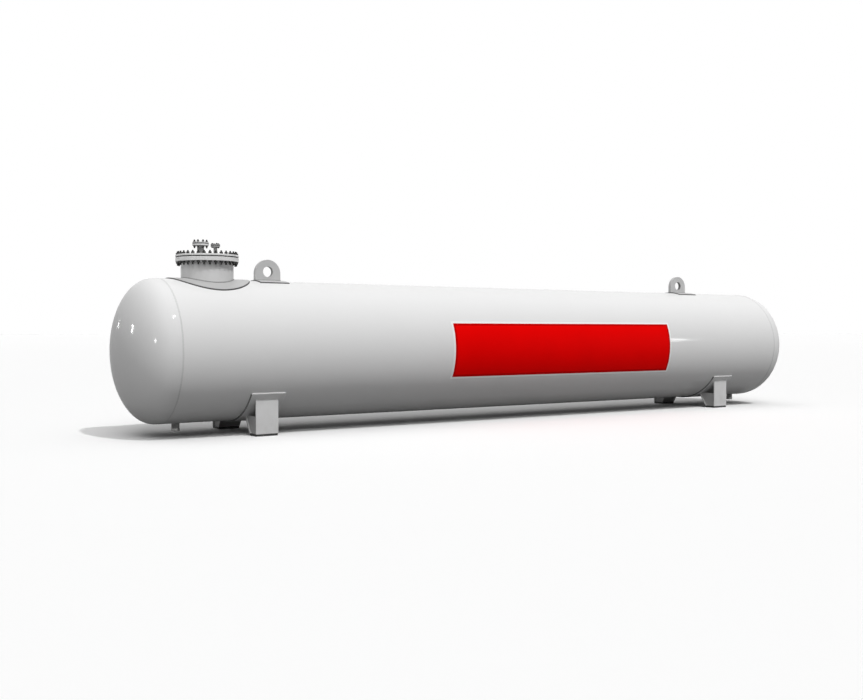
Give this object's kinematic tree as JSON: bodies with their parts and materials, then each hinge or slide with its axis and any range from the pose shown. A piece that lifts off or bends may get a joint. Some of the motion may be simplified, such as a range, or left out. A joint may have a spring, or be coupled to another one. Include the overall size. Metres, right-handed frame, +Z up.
{
  "type": "horizontal pressure tank",
  "caption": "Horizontal cylindrical steel pressure tank with dished ends, bolted manhole with capped nozzles, lifting lugs and two pairs of saddle legs.",
  "frame": {"origin": "middle of the tank's length and width, on the floor plane under the feet", "axes": "+X along the tank's axis away from the manhole, +Y across towards the rear, +Z up"},
  "size_m": [10.475, 1.605, 2.186],
  "materials": {
    "white_paint": "gloss",
    "grey_paint": "satin",
    "stud_steel": "satin",
    "gasket": "matte",
    "foot_pad": "matte"
  },
  "bodies": {
    "root": {"large_nozzle_blind": "grey_paint", "large_nozzle_gasket": "gasket", "large_nozzle_neck": "grey_paint", "large_nozzle_studs": "stud_steel", "left_drain_cap": "grey_paint", "left_drain_pipe": "grey_paint", "left_front_leg_back": "grey_paint", "left_front_leg_face": "grey_paint", "left_front_leg_foot": "foot_pad", "left_front_leg_webs": "grey_paint", "left_head": "white_paint", "left_lug": "grey_paint", "left_lug_pad": "grey_paint", "left_rear_leg_back": "grey_paint", "left_rear_leg_face": "grey_paint", "left_rear_leg_foot": "foot_pad", "left_rear_leg_webs": "grey_paint", "left_saddle_wrap": "grey_paint", "left_seam_weld": "white_paint", "manhole_cover": "grey_paint", "manhole_flange": "grey_paint", "manhole_gasket": "gasket", "manhole_neck": "grey_paint", "manhole_pad": "grey_paint", "right_drain_cap": "grey_paint", "right_drain_pipe": "grey_paint", "right_front_leg_back": "grey_paint", "right_front_leg_face": "grey_paint", "right_front_leg_foot": "foot_pad", "right_front_leg_webs": "grey_paint", "right_head": "white_paint", "right_lug": "grey_paint", "right_lug_pad": "grey_paint", "right_rear_leg_back": "grey_paint", "right_rear_leg_face": "grey_paint", "right_rear_leg_foot": "foot_pad", "right_rear_leg_webs": "grey_paint", "right_saddle_wrap": "grey_paint", "right_seam_weld": "white_paint", "shell": "white_paint", "small_nozzle_blind": "grey_paint", "small_nozzle_gasket": "gasket", "small_nozzle_neck": "grey_paint", "small_nozzle_studs": "stud_steel"}
  },
  "joints": []
}
